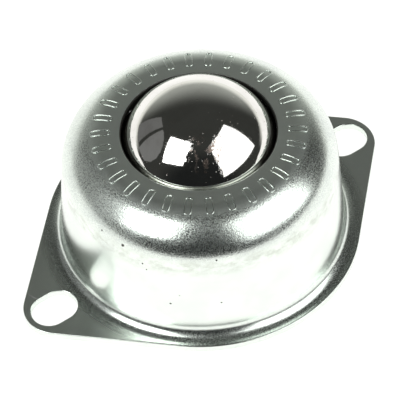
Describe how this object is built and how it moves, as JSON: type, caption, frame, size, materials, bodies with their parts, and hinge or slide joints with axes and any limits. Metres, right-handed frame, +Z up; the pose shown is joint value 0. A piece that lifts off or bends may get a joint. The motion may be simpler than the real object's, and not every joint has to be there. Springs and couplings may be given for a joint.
{
  "type": "ball transfer unit",
  "caption": "Ball transfer unit: a captive load ball rolls in any direction on a bed of small balls in a pressed housing with a slotted two-ended flange.",
  "frame": {"origin": "centre of the mounting face, the underside of the flange, straight below the load ball", "axes": "+Z up out of the mounting face through the load ball; X along the flange's long axis through both fixing slots"},
  "size_m": [0.0666, 0.05, 0.0298],
  "materials": {
    "zinc_plate": "bright zinc plate on pressed steel, grained on the shoulder",
    "cap_plate": "bright zinc plate, duller than the outside",
    "hardened_steel": "satin, oiled",
    "ball_chrome_steel": "mirror, lightly marked by use",
    "support_ball_steel": "mirror"
  },
  "bodies": {
    "housing_assembly": {"housing": "zinc_plate", "bearing_cup": "hardened_steel", "base_cap": "cap_plate"},
    "support_balls": {"support_ball_row_1": "support_ball_steel", "support_ball_row_2": "support_ball_steel", "support_ball_row_3": "support_ball_steel", "support_ball_row_4": "support_ball_steel", "support_ball_row_5": "support_ball_steel", "support_ball_row_6": "support_ball_steel", "support_ball_row_7": "support_ball_steel", "support_ball_row_8": "support_ball_steel"},
    "load_ball": {"load_ball": "ball_chrome_steel"}
  },
  "joints": [
    {"name": "support_ball_swivel", "type": "hinge", "parent": "housing_assembly", "child": "support_balls", "pos_m": [0, 0, 0.01708], "axis": [0, 0, 1], "continuous": true},
    {"name": "load_ball_roll", "type": "hinge", "parent": "support_balls", "child": "load_ball", "pos_m": [0, 0, 0.01708], "axis": [0, 1, 0], "continuous": true}
  ]
}
